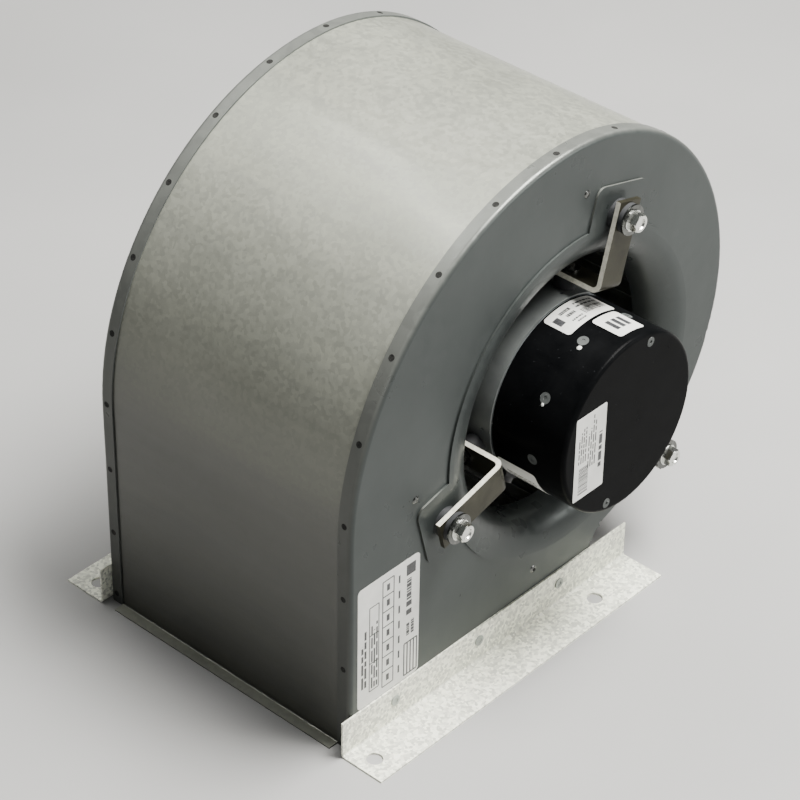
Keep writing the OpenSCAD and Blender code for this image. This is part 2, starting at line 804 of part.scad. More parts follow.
// Electrolytic capacitors on the board, each with its crimped groove
module capacitors() color("#3b4a63") at_shaft() for (k = [0:2]) rotate([30 + 120 * k, 0, 0])
    translate([0, capacitor_at, 0]) difference() {
        low = board_x + board_t;
        rod_x(low, can_face_x - can_t - 8, capacitor_r);
        tube(low + 4, low + 6, capacitor_r + capacitor_groove, capacitor_r - capacitor_groove);
    }

// Gland for the motor lead, on the lower side of the motor shell
module at_gland() {
    at_shaft() rotate([gland_a, 0, 0]) translate([gland_x, 0, 0]) children();
}

module cable_gland() color("#2a2d2f") at_gland() difference() {
    union() {
        rod_y(shell_r - shell_t, shell_r + gland_out, gland_d / 2);
        rod_y(shell_r + fit_gap, shell_r + gland_nut_h, 0.7 * gland_d, 6);
    }
    rod_y(shell_r - shell_t - eps, shell_r + gland_out + eps, gland_d / 4);
}

// ---------- rotating parts ----------

module motor_shaft() color("#c2c4bf") turned() {
    tip = -disc_t / 2 - hub_flange_t - hub_l - shaft_past_hub;
    tail = shell_open_x + boss_out - eps;
    r = shaft_d / 2;
    c = shaft_chamfer;
    polygon([[0, tip], [r - c, tip], [r, tip + c], [r, tail - c], [r - c, tail], [0, tail]]);
}

module rotor_core() color("#5c5c58") turned()
    rect([shaft_d / 2, core_x], [core_bore_d / 2 - air_gap - magnet_t, core_x + core_l]);

module rotor_magnets() color("#3b3b3d") {
    outer = core_bore_d / 2 - air_gap;
    pitch = 360 / magnet_count;
    at_shaft() along_x() for (k = [0:magnet_count - 1]) rotate([0, 0, k * pitch + magnet_space / 2])
        rotate_extrude(angle = pitch - magnet_space)
            rect([outer - magnet_t, core_x], [outer, core_x + core_l]);
}

module impeller_hub() color("#a8aaa4") difference() {
    turned() {
        back = -disc_t / 2;
        rect([shaft_d / 2, back - hub_flange_t], [hub_flange_d / 2, back]);
        rect([shaft_d / 2, back - hub_flange_t - hub_l], [hub_d / 2, disc_t / 2 + hub_back]);
    }
    at_set_screw() rod_y(0, hub_d, set_screw_r + fit_gap / 2);
    at_hub_rivets() rod_x(-hub_flange_t - disc_t, 0, hub_rivet_d / 2 + fit_gap / 2);
}

module at_set_screw() {
    at_shaft() rotate([40, 0, 0])
        translate([-disc_t / 2 - hub_flange_t - hub_l / 2, 0, 0]) children();
}

module hub_set_screw() color("#4a4c4c") at_set_screw() difference() {
    rod_y(shaft_d / 2, hub_d / 2 + set_screw_out, set_screw_r);
    rod_y(hub_d / 2 - set_screw_out, hub_d / 2 + set_screw_out + eps, 0.55 * set_screw_r, 6);
}

module at_hub_rivets() {
    at_shaft() for (k = [0:5]) rotate([60 * k, 0, 0]) translate([0, hub_rivet_r, 0]) children();
}

module hub_rivets() color("#b4b6b0") at_hub_rivets() {
    out = -disc_t / 2 - hub_flange_t;
    rod_x(out, disc_t / 2, hub_rivet_d / 2);
    rod_x(out - rivet_head_h, out, 0.75 * hub_rivet_d);
    rod_x(disc_t / 2, disc_t / 2 + rivet_head_h, 0.75 * hub_rivet_d);
}

module impeller_disc() color("#8f948c") difference() {
    turned() rect([hub_d / 2 + hole_gap, -disc_t / 2], [disc_r, disc_t / 2]);
    at_hub_rivets() rod_x(-disc_t, disc_t, hub_rivet_d / 2 + fit_gap / 2);
}

// One forward-curved blade in Y and Z: part of a ring between the two blade radii
module blade_2d() {
    c = [blade_in_r + blade_arc_r * sin(blade_lean), blade_arc_r * cos(blade_lean)];
    intersection() {
        difference() {
            circle(r = blade_out_r);
            circle(r = blade_in_r);
        }
        translate(c) difference() {
            circle(r = blade_arc_r + blade_t / 2);
            circle(r = blade_arc_r - blade_t / 2);
        }
        rect([blade_in_r - 5, -blade_arc_r], [blade_out_r + 5, c[1] - 1]);
    }
}

module blade_row(x1, x2) {
    at_shaft() along_x() translate([0, 0, x1]) for (k = [0:blade_count - 1])
        rotate([0, 0, k * 360 / blade_count]) linear_extrude(x2 - x1) blade_2d();
}

module blades_motor_side() color("#8f948c") blade_row(disc_t / 2, ring_x);

module blades_far_side() color("#8f948c") blade_row(-ring_x, -disc_t / 2);

// Flat ring at the mouth of the impeller, with a lip around the blade tips
module end_ring() {
    turned() {
        rect([blade_in_r - 1, ring_x], [wheel_d / 2, ring_x + ring_t]);
        rect([wheel_d / 2 - ring_t, ring_x + ring_t - ring_lip], [wheel_d / 2, ring_x + eps]);
    }
}

module end_ring_motor_side() color("#9aa096") end_ring();

module end_ring_far_side() color("#9aa096") mirror([1, 0, 0]) end_ring();

scroll_wrap();
motor_side_plate();
far_side_plate();
motor_side_foot();
far_side_foot();
foot_clinches();
plate_rivets();
arm_top();
arm_front();
arm_back();
arm_grommets();
arm_bushes();
arm_washers();
arm_bolts();
arm_nuts();
band_mounts();
band_washers();
band_screws();
belly_band();
band_saddles();
motor_shell();
drive_end_shield();
control_end_shield();
drive_end_bearing();
control_end_bearing();
stator_core();
stator_windings();
control_housing();
housing_rivets();
face_screws();
control_board();
capacitors();
cable_gland();
motor_shaft();
rotor_core();
rotor_magnets();
impeller_hub();
hub_set_screw();
hub_rivets();
impeller_disc();
blades_motor_side();
blades_far_side();
end_ring_motor_side();
end_ring_far_side();
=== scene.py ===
"""Looks of the double-inlet blower: materials, small fittings, labels, paint dots, floor, lights and camera.

X runs along the fan shaft towards the motor side, -Y is the flat front of the scroll and Z is up.
Lengths are in metres, and angles are in degrees until they are turned into radians.
"""

import json
import math
import random

import bmesh
import bpy
from mathutils import Matrix, Vector


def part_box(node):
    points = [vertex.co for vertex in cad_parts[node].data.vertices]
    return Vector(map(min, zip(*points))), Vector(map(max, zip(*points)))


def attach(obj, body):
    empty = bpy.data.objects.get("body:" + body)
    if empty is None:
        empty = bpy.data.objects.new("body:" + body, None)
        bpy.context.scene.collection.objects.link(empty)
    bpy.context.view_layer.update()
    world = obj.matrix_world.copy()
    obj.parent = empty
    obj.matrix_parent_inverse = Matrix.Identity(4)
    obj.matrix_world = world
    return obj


MM = 0.001

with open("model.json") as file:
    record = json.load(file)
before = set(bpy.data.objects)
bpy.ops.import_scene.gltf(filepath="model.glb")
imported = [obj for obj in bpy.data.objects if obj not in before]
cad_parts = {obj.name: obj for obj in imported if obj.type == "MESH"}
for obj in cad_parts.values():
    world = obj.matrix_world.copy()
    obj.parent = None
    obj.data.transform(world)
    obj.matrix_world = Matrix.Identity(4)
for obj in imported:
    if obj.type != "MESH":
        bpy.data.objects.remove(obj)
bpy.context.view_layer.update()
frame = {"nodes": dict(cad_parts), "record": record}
nodes = frame["nodes"]

HOUSING = "housing"


# ---------- sizes ----------

def box(node):
    """The two corners of a node's box in the frame."""
    low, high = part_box(node)
    return Vector(low), Vector(high)


# The can is the round control housing, and its middle lies on the fan shaft
CAN_LOW, CAN_HIGH = box("control_housing")
PLATE_LOW, PLATE_HIGH = box("motor_side_plate")
RIVET_LOW, RIVET_HIGH = box("plate_rivets")
BOLT_SEAT = box("arm_washers")[1].x

AXIS = Vector((0, (CAN_LOW.y + CAN_HIGH.y) / 2, (CAN_LOW.z + CAN_HIGH.z) / 2))
CAN_R = (CAN_HIGH.y - CAN_LOW.y) / 2
CAN_FACE = CAN_HIGH.x
CAN_REAR = CAN_LOW.x

# Side plate: the raised pads are its outermost surface, the plain sheet lies a pad's height lower
PAD_H = 1.6 * MM
PLATE_X = PLATE_HIGH.x - PAD_H
FRONT_Y = PLATE_LOW.y
TOP_Z = PLATE_HIGH.z

# The scroll's arcs and the rim over the wrapper, with the values of part.scad
ARC_FRONT_R = 234 * MM
ARC_TOP_R = 194 * MM
ARC_BACK_R = 190 * MM
RIM_BEND_R = 4 * MM
RIM_W = 13 * MM

# Arms, at angles about the fan shaft from +Y towards +Z
TOP_ARM, FRONT_ARM, BACK_ARM = (74.7 + 120 * k for k in range(3))
ARM_BOLT_R = 151 * MM

# Labels
FILM_T = 0.12 * MM
INK_LIFT = 0.01 * MM
INK_T = 0.02 * MM
BAR_STEPS = (6, 2)


# ---------- geometry helpers ----------

def new_piece(name, bm, material, body=HOUSING, smooth=True):
    """Turns a bmesh into an object that rides on a body and takes a slot's finish."""
    mesh = bpy.data.meshes.new(name)
    bmesh.ops.recalc_face_normals(bm, faces=bm.faces)
    bm.to_mesh(mesh)
    bm.free()
    for polygon in mesh.polygons:
        polygon.use_smooth = smooth
    mesh.materials.append(material)
    obj = bpy.data.objects.new(name, mesh)
    bpy.context.scene.collection.objects.link(obj)
    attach(obj, body)


def radial(angle):
    """Direction away from the fan shaft at an angle from +Y towards +Z."""
    a = math.radians(angle)
    return Vector((0, math.cos(a), math.sin(a)))


def tangent(angle):
    """Direction about the fan shaft at an angle from +Y towards +Z."""
    a = math.radians(angle)
    return Vector((0, -math.sin(a), math.cos(a)))


def polar(angle, radius, x):
    """A point at an angle and a distance from the fan shaft."""
    return Vector((x, AXIS.y, AXIS.z)) + radius * radial(angle)


def frame_at(point, normal, along):
    """A matrix whose Z is the normal and whose X is as near to `along` as it can be."""
    z = normal.normalized()
    y = z.cross(along).normalized()
    x = y.cross(z)
    matrix = Matrix((x, y, z)).transposed().to_4x4()
    matrix.translation = point
    return matrix


def add_ring(bm, matrix, radii, height):
    """Adds a ring of points about a matrix's Z axis, one for each radius, evenly spread."""
    ring = []
    for i, radius in enumerate(radii):
        a = 2 * math.pi * i / len(radii)
        point = Vector((radius * math.cos(a), radius * math.sin(a), height))
        ring.append(bm.verts.new(matrix @ point))
    return ring


def join_rings(bm, rings):
    """Adds the faces between neighbouring rings. A ring may be a single point."""
    for lower, upper in zip(rings, rings[1:]):
        steps = max(len(lower), len(upper))
        for i in range(steps):
            j = (i + 1) % steps
            below = [lower[i % len(lower)], lower[j % len(lower)]]
            above = [upper[j % len(upper)], upper[i % len(upper)]]
            bm.faces.new(list(dict.fromkeys(below + above)))


def add_turned(bm, profile, matrix, steps=24):
    """Adds a profile of (radius, height) points, revolved about a matrix's Z axis."""
    rings = []
    for radius, height in profile:
        count = steps if radius > 0 else 1
        rings.append(add_ring(bm, matrix, [radius] * count, height))
    join_rings(bm, rings)


def add_patch(bm, place, u_range, v_range, corner, steps, thick):
    """Adds a thin sheet with round corners. place(u, v, h) is the point h above the surface at (u, v)."""
    (u0, u1), (v0, v1) = u_range, v_range
    nu, nv = steps
    stations = [u0 + (u1 - u0) * (0.5 - 0.5 * math.cos(math.pi * i / nu)) for i in range(nu + 1)]
    layers = []
    for height in (0.0, thick):
        rows = []
        for u in stations:
            d = min(u - u0, u1 - u)
            inset = 0.0
            if d < corner:
                inset = corner - math.sqrt(max(corner * corner - (corner - d) ** 2, 0.0))
            start, reach = v0 + inset, v1 - v0 - 2 * inset
            rows.append([bm.verts.new(place(u, start + reach * j / nv, height)) for j in range(nv + 1)])
        layers.append(rows)
    for rows in layers:
        for a, b in zip(rows, rows[1:]):
            for j in range(nv):
                bm.faces.new((a[j], a[j + 1], b[j + 1], b[j]))
    low, high = layers
    for i in range(nu):
        for j in (0, nv):
            bm.faces.new((low[i][j], low[i + 1][j], high[i + 1][j], high[i][j]))
    for i in (0, nu):
        for j in range(nv):
            bm.faces.new((low[i][j], low[i][j + 1], high[i][j + 1], high[i][j]))


def on_plate(u, v, h):
    """Side plate: u runs back along Y and v runs up, h stands out."""
    return Vector((PLATE_X + h, u, v))


def on_face(u, v, h):
    """Flat end of the control housing: u and v from the fan shaft."""
    return Vector((CAN_FACE + h, AXIS.y + u, AXIS.z + v))


def on_can(u, v, h):
    """Round side of the control housing: u is the arc length from +Y, v is X."""
    return polar(math.degrees(u / CAN_R), CAN_R + h, v)


# ---------- material helpers ----------

class Nodes:
    """A small wrapper that keeps the node trees below short."""

    def __init__(self, name):
        self.material = bpy.data.materials.new(name)
        self.material.use_nodes = True
        self.tree = self.material.node_tree
        self.bsdf = next(n for n in self.tree.nodes if n.type == "BSDF_PRINCIPLED")
        self.coords = self.tree.nodes.new("ShaderNodeTexCoord").outputs["Object"]

    def add(self, kind, inputs=None, **settings):
        """A new node with some settings and some fixed inputs."""
        node = self.tree.nodes.new(kind)
        for key, value in settings.items():
            setattr(node, key, value)
        for key, value in (inputs or {}).items():
            node.inputs[key].default_value = value
        return node

    def link(self, output, socket):
        self.tree.links.new(output, socket)

    def feed(self, value, socket):
        """Gives a socket a number, a colour or another node's output."""
        if isinstance(value, (int, float)):
            socket.default_value = value
        elif isinstance(value, tuple):
            socket.default_value = (*value, 1)
        else:
            self.link(value, socket)

    def facing(self, axis):
        """How far the surface faces along an axis."""
        split = self.add("ShaderNodeSeparateXYZ")
        self.link(self.add("ShaderNodeTexCoord").outputs["Normal"], split.inputs["Vector"])
        return split.outputs[axis]

    def size_of(self, value):
        """A value without its sign."""
        node = self.add("ShaderNodeMath", operation="ABSOLUTE")
        self.link(value, node.inputs[0])
        return node.outputs["Value"]

    def scaled(self, scale):
        """The place on the part, stretched along each axis."""
        mapping = self.add("ShaderNodeMapping", {"Scale": scale})
        self.link(self.coords, mapping.inputs["Vector"])
        return mapping.outputs["Vector"]

    def noise(self, scale, detail=3.0, rough=0.5, stretch=(1, 1, 1), distortion=0.0):
        """Cloudy noise between 0 and 1."""
        values = {"Scale": scale, "Detail": detail, "Roughness": rough, "Distortion": distortion}
        node = self.add("ShaderNodeTexNoise", values)
        self.link(self.scaled(stretch), node.inputs["Vector"])
        return node.outputs["Fac"]

    def cells(self, scale):
        """Crystal cells with wavy edges: a random value for each cell."""
        warp = self.add("ShaderNodeTexNoise", {"Scale": scale * 1.5, "Detail": 3.0})
        self.link(self.coords, warp.inputs["Vector"])
        moved = self.add("ShaderNodeVectorMath", {1: (0.5 / scale,) * 3}, operation="MULTIPLY_ADD")
        self.link(warp.outputs["Color"], moved.inputs[0])
        self.link(self.coords, moved.inputs[2])
        node = self.add("ShaderNodeTexVoronoi", {"Scale": scale})
        self.link(moved.outputs["Vector"], node.inputs["Vector"])
        split = self.add("ShaderNodeSeparateColor")
        self.link(node.outputs["Color"], split.inputs["Color"])
        return split.outputs["Red"]

    def from_shaft(self):
        """Distance of the surface from the fan shaft."""
        values = {1: (0, 1, 1), 2: (0, -AXIS.y, -AXIS.z)}
        across = self.add("ShaderNodeVectorMath", values, operation="MULTIPLY_ADD")
        self.link(self.coords, across.inputs[0])
        length = self.add("ShaderNodeVectorMath", operation="LENGTH")
        self.link(across.outputs["Vector"], length.inputs[0])
        return length.outputs["Value"]

    def ramp(self, factor, low, high, at=(0.3, 0.7)):
        """A colour that goes from low to high between two values of the factor."""
        node = self.add("ShaderNodeValToRGB")
        for element, place, color in zip(node.color_ramp.elements, at, (low, high)):
            element.position = place
            element.color = (*color, 1)
        self.link(factor, node.inputs["Fac"])
        return node.outputs["Color"]

    def mix(self, factor, a, b, blend="MIX"):
        """Two colours in one of Blender's blends."""
        node = self.add("ShaderNodeMix", data_type="RGBA", blend_type=blend)
        for value, socket in ((factor, node.inputs["Factor"]), (a, node.inputs[6]), (b, node.inputs[7])):
            self.feed(value, socket)
        return node.outputs[2]

    def span(self, factor, low, high):
        """A number that goes from low to high over the middle half of the factor."""
        values = {"From Min": 0.25, "From Max": 0.75, "To Min": low, "To Max": high}
        node = self.add("ShaderNodeMapRange", values)
        self.link(factor, node.inputs["Value"])
        return node.outputs["Result"]

    def bump(self, height, strength, distance, before=None):
        """Fine relief, on top of the relief before it if there is one."""
        node = self.add("ShaderNodeBump", {"Strength": strength, "Distance": distance})
        self.link(height, node.inputs["Height"])
        if before is not None:
            self.link(before, node.inputs["Normal"])
        return node.outputs["Normal"]

    def finish(self, color, rough, normal, **fixed):
        """Joins everything to the surface and returns the material."""
        self.feed(color, self.bsdf.inputs["Base Color"])
        self.feed(rough, self.bsdf.inputs["Roughness"])
        self.link(normal, self.bsdf.inputs["Normal"])
        for name, value in fixed.items():
            self.bsdf.inputs[name.replace("_", " ")].default_value = value
        return self.material


# ---------- materials ----------

def paint_low_shade(n, low, high, depth):
    """A painted shade, darker towards the floor: white above one height and falling to a depth at a lower
    one, on upright sheet only.
    """
    split = n.add("ShaderNodeSeparateXYZ")
    n.link(n.coords, split.inputs["Vector"])
    fade = n.add("ShaderNodeMapRange", {"From Min": low, "From Max": high}, interpolation_type="SMOOTHSTEP")
    n.link(split.outputs["Z"], fade.inputs["Value"])
    shade = n.ramp(fade.outputs["Result"], (depth,) * 3, (1, 1, 1), at=(0, 1))
    # Sheet that faces up, such as the lip at the floor, gets no painted shade, as it is lit from above.
    level = n.ramp(n.facing("Z"), (0, 0, 0), (1, 1, 1), at=(0.80, 0.95))
    return n.mix(1.0, shade, level, "LIGHTEN")


def flat_sheet_shade_mask(n):
    """A mask for painted reflection: dark on a side plate's rim, bright on its flat sheet and nearly so in
    its bell mouth, where the sheet keeps a darker colour as a painted reflection of a dark floor.
    """
    bell_edge = (146 * MM, 156 * MM)
    flat = n.ramp(n.size_of(n.facing("X")), (0, 0, 0), (1, 1, 1), at=(0.35, 0.97))
    inside = n.ramp(n.from_shaft(), (0.88,) * 3, (0, 0, 0), at=bell_edge)
    return n.mix(1.0, flat, inside, "LIGHTEN")


def galvanised(name, dark, light, metallic, rough, cell, streak=0.35, stretch=(1, 1, 1), spangle=0.35,
               crystals=(0.80, 1.12), dull=None, rim=None, **fixed):
    """Zinc-coated sheet: crystal cells, soft clouds and fine rolling streaks.

    dull is (low, high, depth): a painted shade that darkens upright sheet from the high to the low height.
    rim is the colour of a side plate's rim, lighter than the flat sheet, whose darker colour is a painted
    reflection of a dark floor. Only the rim then takes the painted shade.
    """
    n = Nodes(name)
    cells = n.cells(cell)
    clouds = n.noise(9, 4, 0.55)
    streaks = n.noise(60, 5, 0.6, stretch=stretch)
    grain = n.noise(900, 2, 0.6)
    color = n.ramp(clouds, dark, light, at=(0.28, 0.74))
    # Painted shade, darker towards the floor.
    shade = (1, 1, 1) if dull is None else paint_low_shade(n, *dull)
    if rim is not None:
        # The flat sheet keeps the darker colour, a painted reflection; the rim and faces that don't face
        # along X take the rim colour.
        color = n.mix(flat_sheet_shade_mask(n), n.mix(1.0, rim, shade, "MULTIPLY"), color)
    darkest, brightest = crystals
    crystal = n.ramp(cells, (darkest,) * 3, (brightest, brightest, 0.98 * brightest), at=(0.1, 0.9))
    color = n.mix(spangle, color, crystal, "MULTIPLY")
    lines = n.ramp(streaks, (0.78, 0.79, 0.80), (1.08, 1.08, 1.05), at=(0.34, 0.66))
    color = n.mix(streak, color, lines, "MULTIPLY")
    # Without a rim colour, the painted shade darkens the whole upright sheet.
    if dull is not None and rim is None:
        color = n.mix(1.0, color, shade, "MULTIPLY")
    roughness = n.span(n.mix(0.4, clouds, cells), rough - 0.07, rough + 0.08)
    normal = n.bump(cells, 0.10, 0.0002)
    normal = n.bump(grain, 0.08, 0.0001, normal)
    normal = n.bump(clouds, 0.25, 0.0012, normal)
    return n.finish(color, roughness, normal, Metallic=metallic, **fixed)


def zinc_plate(name, dark, light):
    """Zinc-plated fasteners: smooth, with faint patches."""
    n = Nodes(name)
    fine = n.noise(700, 3, 0.6)
    patches = n.noise(160, 3, 0.5)
    color = n.ramp(patches, dark, light)
    normal = n.bump(fine, 0.12, 0.0001)
    return n.finish(color, n.span(patches, 0.16, 0.30), normal, Metallic=1.0)


def strip_steel(name, angle):
    """Hot-rolled strip with a thin, yellowed zinc coat and mill marks along it. Its faces are dark, partly
    their own colour and partly a painted reflection of a dark floor, and its edges carry a painted highlight.

    The arm stands at this angle about the fan shaft, and its edges face across it.
    """
    n = Nodes(name)
    marks = n.noise(220, 5, 0.65)
    patches = n.noise(45, 4, 0.6, distortion=0.6)
    color = n.ramp(patches, (0.026, 0.025, 0.017), (0.054, 0.051, 0.037), at=(0.3, 0.72))
    tint = n.ramp(marks, (0.75, 0.74, 0.70), (1.10, 1.08, 1.02))
    color = n.mix(0.5, color, tint, "MULTIPLY")
    # Painted highlight: surfaces that face across the arm, its edges, get a light colour and less metal.
    across = n.add("ShaderNodeVectorMath", {1: tangent(angle)}, operation="DOT_PRODUCT")
    n.link(n.add("ShaderNodeTexCoord").outputs["Normal"], across.inputs[0])
    edge_highlight = n.ramp(n.size_of(across.outputs["Value"]), (0, 0, 0), (1, 1, 1), at=(0.80, 0.92))
    color = n.mix(edge_highlight, color, n.ramp(marks, (0.56, 0.545, 0.46), (0.84, 0.82, 0.72)))
    n.link(n.ramp(edge_highlight, (0.55,) * 3, (0.1,) * 3, at=(0, 1)), n.bsdf.inputs["Metallic"])
    normal = n.bump(marks, 0.18, 0.0002)
    return n.finish(color, n.span(marks, 0.26, 0.42), normal, Specular_IOR_Level=0.15)


def rubber():
    """Black rubber with a grey bloom."""
    n = Nodes("black_rubber")
    grain = n.noise(1200, 3, 0.7)
    bloom = n.noise(120, 3, 0.5)
    color = n.ramp(bloom, (0.010, 0.011, 0.013), (0.030, 0.031, 0.034))
    return n.finish(color, n.span(bloom, 0.62, 0.80), n.bump(grain, 0.3, 0.0001))


def powder_coat(name, dark, light, rough):
    """Powder coat: fine orange peel over faint dust and handling marks."""
    n = Nodes(name)
    peel = n.noise(1500, 2, 0.5)
    dust = n.noise(38, 6, 0.62, distortion=0.4)
    specks = n.noise(420, 2, 0.5)
    color = n.ramp(dust, dark, light, at=(0.35, 0.8))
    speck = n.ramp(specks, (0, 0, 0), (1, 1, 1), at=(0.72, 0.76))
    color = n.mix(speck, color, tuple(4 * c for c in light))
    normal = n.bump(peel, 0.22, 0.00012)
    return n.finish(color, n.span(dust, rough - 0.05, rough + 0.10), normal, Specular_IOR_Level=0.02)


def cast_alloy():
    """Cast aluminium with a grainy skin."""
    n = Nodes("cast_alloy")
    grain = n.noise(500, 4, 0.7)
    patches = n.noise(60, 3, 0.5)
    color = n.ramp(patches, (0.42, 0.43, 0.43), (0.60, 0.61, 0.60))
    return n.finish(color, n.span(patches, 0.45, 0.6), n.bump(grain, 0.35, 0.0003), Metallic=0.8)


def turned_steel(name, dark, light, rough):
    """Ground or turned steel with fine rings about the shaft."""
    n = Nodes(name)
    rings = n.noise(900, 3, 0.6, stretch=(1, 0.05, 0.05))
    patches = n.noise(70, 3, 0.5)
    color = n.ramp(patches, dark, light)
    roughness = n.span(rings, rough - 0.06, rough + 0.08)
    return n.finish(color, roughness, n.bump(rings, 0.12, 0.0001), Metallic=0.95)


def laminations():
    """Stacked core plates, seen on edge along the shaft."""
    n = Nodes("laminations")
    layers = n.noise(1600, 1, 0.4, stretch=(1, 0.01, 0.01))
    color = n.ramp(layers, (0.10, 0.10, 0.10), (0.30, 0.30, 0.29))
    return n.finish(color, 0.5, n.bump(layers, 0.6, 0.0003), Metallic=0.7)


def windings():
    """Varnished copper wire."""
    n = Nodes("varnished_copper")
    wires = n.noise(900, 2, 0.5, stretch=(1, 0.2, 0.2))
    color = n.ramp(wires, (0.16, 0.05, 0.02), (0.55, 0.23, 0.09))
    return n.finish(color, 0.3, n.bump(wires, 0.7, 0.0004), Metallic=0.4, Coat_Weight=0.5)


def board():
    """Circuit board under green solder mask."""
    n = Nodes("solder_mask")
    tracks = n.cells(260)
    color = n.ramp(tracks, (0.012, 0.07, 0.03), (0.03, 0.14, 0.06))
    return n.finish(color, 0.35, n.bump(tracks, 0.2, 0.0001))


def plastic(name, dark, light, rough):
    """Moulded plastic with a fine grain."""
    n = Nodes(name)
    grain = n.noise(1400, 2, 0.6)
    patches = n.noise(90, 3, 0.5)
    color = n.ramp(patches, dark, light)
    return n.finish(color, n.span(patches, rough - 0.05, rough + 0.06), n.bump(grain, 0.15, 0.0001))


def label_stock():
    """Slightly aged white film."""
    n = Nodes("label_film")
    stain = n.noise(55, 4, 0.6)
    fine = n.noise(900, 2, 0.5)
    color = n.ramp(stain, (0.66, 0.66, 0.63), (0.78, 0.78, 0.75))
    return n.finish(color, n.span(stain, 0.32, 0.48), n.bump(fine, 0.08, 0.00005))


def label_ink():
    """Printed bars, a little worn."""
    n = Nodes("label_ink")
    wear = n.noise(500, 3, 0.6)
    color = n.ramp(wear, (0.015, 0.016, 0.018), (0.06, 0.06, 0.065))
    return n.finish(color, n.span(wear, 0.35, 0.5), n.bump(wear, 0.05, 0.00005))


def white_paint():
    """Dabs of white marking paint."""
    n = Nodes("white_paint_dot")
    dabs = n.noise(600, 3, 0.6)
    color = n.ramp(dabs, (0.70, 0.71, 0.68), (0.86, 0.87, 0.84))
    return n.finish(color, 0.4, n.bump(dabs, 0.5, 0.0003))


def pit_shade():
    """Painted shade for a punched pit or a rivet's centre: a near-black colour that stands for the shade
    inside them.
    """
    n = Nodes("clinch_pit_painted_shade")
    pit_mottle = n.noise(900, 3, 0.6)
    color = n.ramp(pit_mottle, (0.008, 0.008, 0.008), (0.035, 0.035, 0.033))
    return n.finish(color, 0.7, n.bump(pit_mottle, 0.5, 0.0002), Specular_IOR_Level=0.1)


# Colours are linear RGB: each material has its darkest and its lightest one
# The wrapper's upright sheet carries a painted shade that darkens it towards the floor.
WRAP = galvanised("galvanised_wrap", (0.30, 0.308, 0.262), (0.37, 0.378, 0.325), 0.45, 0.42,
                  cell=300, streak=0.40, stretch=(0.10, 1, 1), spangle=0.55, crystals=(0.84, 1.10),
                  dull=(0.175, 0.320, 0.16), Coat_Weight=0.35, Coat_Roughness=0.16)
# Side plates: the flat sheet's darker colour is a painted reflection of a dark floor, the rim keeps a lighter
# colour, and the rim also takes a painted shade low down.
PLATE_SHEET = {
    "metallic": 0.40, "rough": 0.34, "cell": 150, "streak": 0.16, "stretch": (1, 1, 0.3), "spangle": 0.20,
    "dull": (0.165, 0.320, 0.40), "rim": (0.165, 0.172, 0.160), "Specular_IOR_Level": 0.2,
}
# The near and far side plates are one sheet in two copies: the near plate's copy is painted darker, as
# painted shade.
SIDE_PAINTED_SHADE = galvanised("galvanised_side_painted_shade", (0.045, 0.052, 0.051), (0.064, 0.072, 0.071), **PLATE_SHEET)
FAR_SIDE_UNSHADED = galvanised("galvanised_far_side_unshaded", (0.095, 0.105, 0.103), (0.140, 0.152, 0.149), **PLATE_SHEET)
FOOT = galvanised("galvanised_foot", (0.93, 0.95, 0.82), (1.0, 1.0, 0.88), 0.0, 0.40,
                  cell=430, streak=0.10, stretch=(1, 0.4, 1), spangle=1.0, crystals=(0.58, 1.08))
BAND = galvanised("galvanised_band", (0.20, 0.215, 0.215), (0.32, 0.34, 0.335), 0.40, 0.40,
                  cell=150, streak=0.30, spangle=0.20)
WHEEL = galvanised("galvanised_wheel", (0.26, 0.27, 0.26), (0.40, 0.41, 0.39), 0.85, 0.42,
                   cell=200, streak=0.25, stretch=(0.2, 1, 1), spangle=0.25)
FOOT_CLINCH = galvanised("foot_clinch", (0.26, 0.28, 0.27), (0.42, 0.45, 0.42), 0.2, 0.35,
                         cell=330, crystals=(0.6, 1.1))
ZINC = zinc_plate("zinc_plate", (0.62, 0.63, 0.60), (0.80, 0.81, 0.77))
WASHER = zinc_plate("dull_zinc_plate", (0.09, 0.093, 0.09), (0.17, 0.173, 0.166))
ARM = strip_steel("arm_strip_top", TOP_ARM)
ARM_FRONT = strip_steel("arm_strip_front", FRONT_ARM)
ARM_BACK = strip_steel("arm_strip_back", BACK_ARM)
RUBBER = rubber()
BLACK = powder_coat("black_powder_coat", (0.0022, 0.0024, 0.0027), (0.0050, 0.0053, 0.0057), 0.30)
SHELL = powder_coat("shell_paint", (0.15, 0.165, 0.170), (0.24, 0.26, 0.265), 0.45)
RIVET = powder_coat("worn_rivet", (0.060, 0.066, 0.066), (0.120, 0.125, 0.122), 0.38)
ALLOY = cast_alloy()
BEARING = turned_steel("bearing_steel", (0.45, 0.46, 0.46), (0.62, 0.63, 0.62), 0.25)
SHAFT = turned_steel("shaft_steel", (0.46, 0.47, 0.46), (0.66, 0.67, 0.65), 0.22)
BLACK_STEEL = turned_steel("black_oxide", (0.03, 0.03, 0.03), (0.08, 0.08, 0.08), 0.45)
CORE = laminations()
COPPER = windings()
BOARD = board()
CAPACITOR = plastic("capacitor_sleeve", (0.02, 0.04, 0.09), (0.04, 0.07, 0.14), 0.3)
NYLON = plastic("black_nylon", (0.012, 0.012, 0.014), (0.03, 0.03, 0.033), 0.5)
MAGNET = plastic("sintered_magnet", (0.03, 0.03, 0.034), (0.07, 0.07, 0.075), 0.6)
FILM = label_stock()
INK = label_ink()
PAINT = white_paint()
PIT_SHADE = pit_shade()

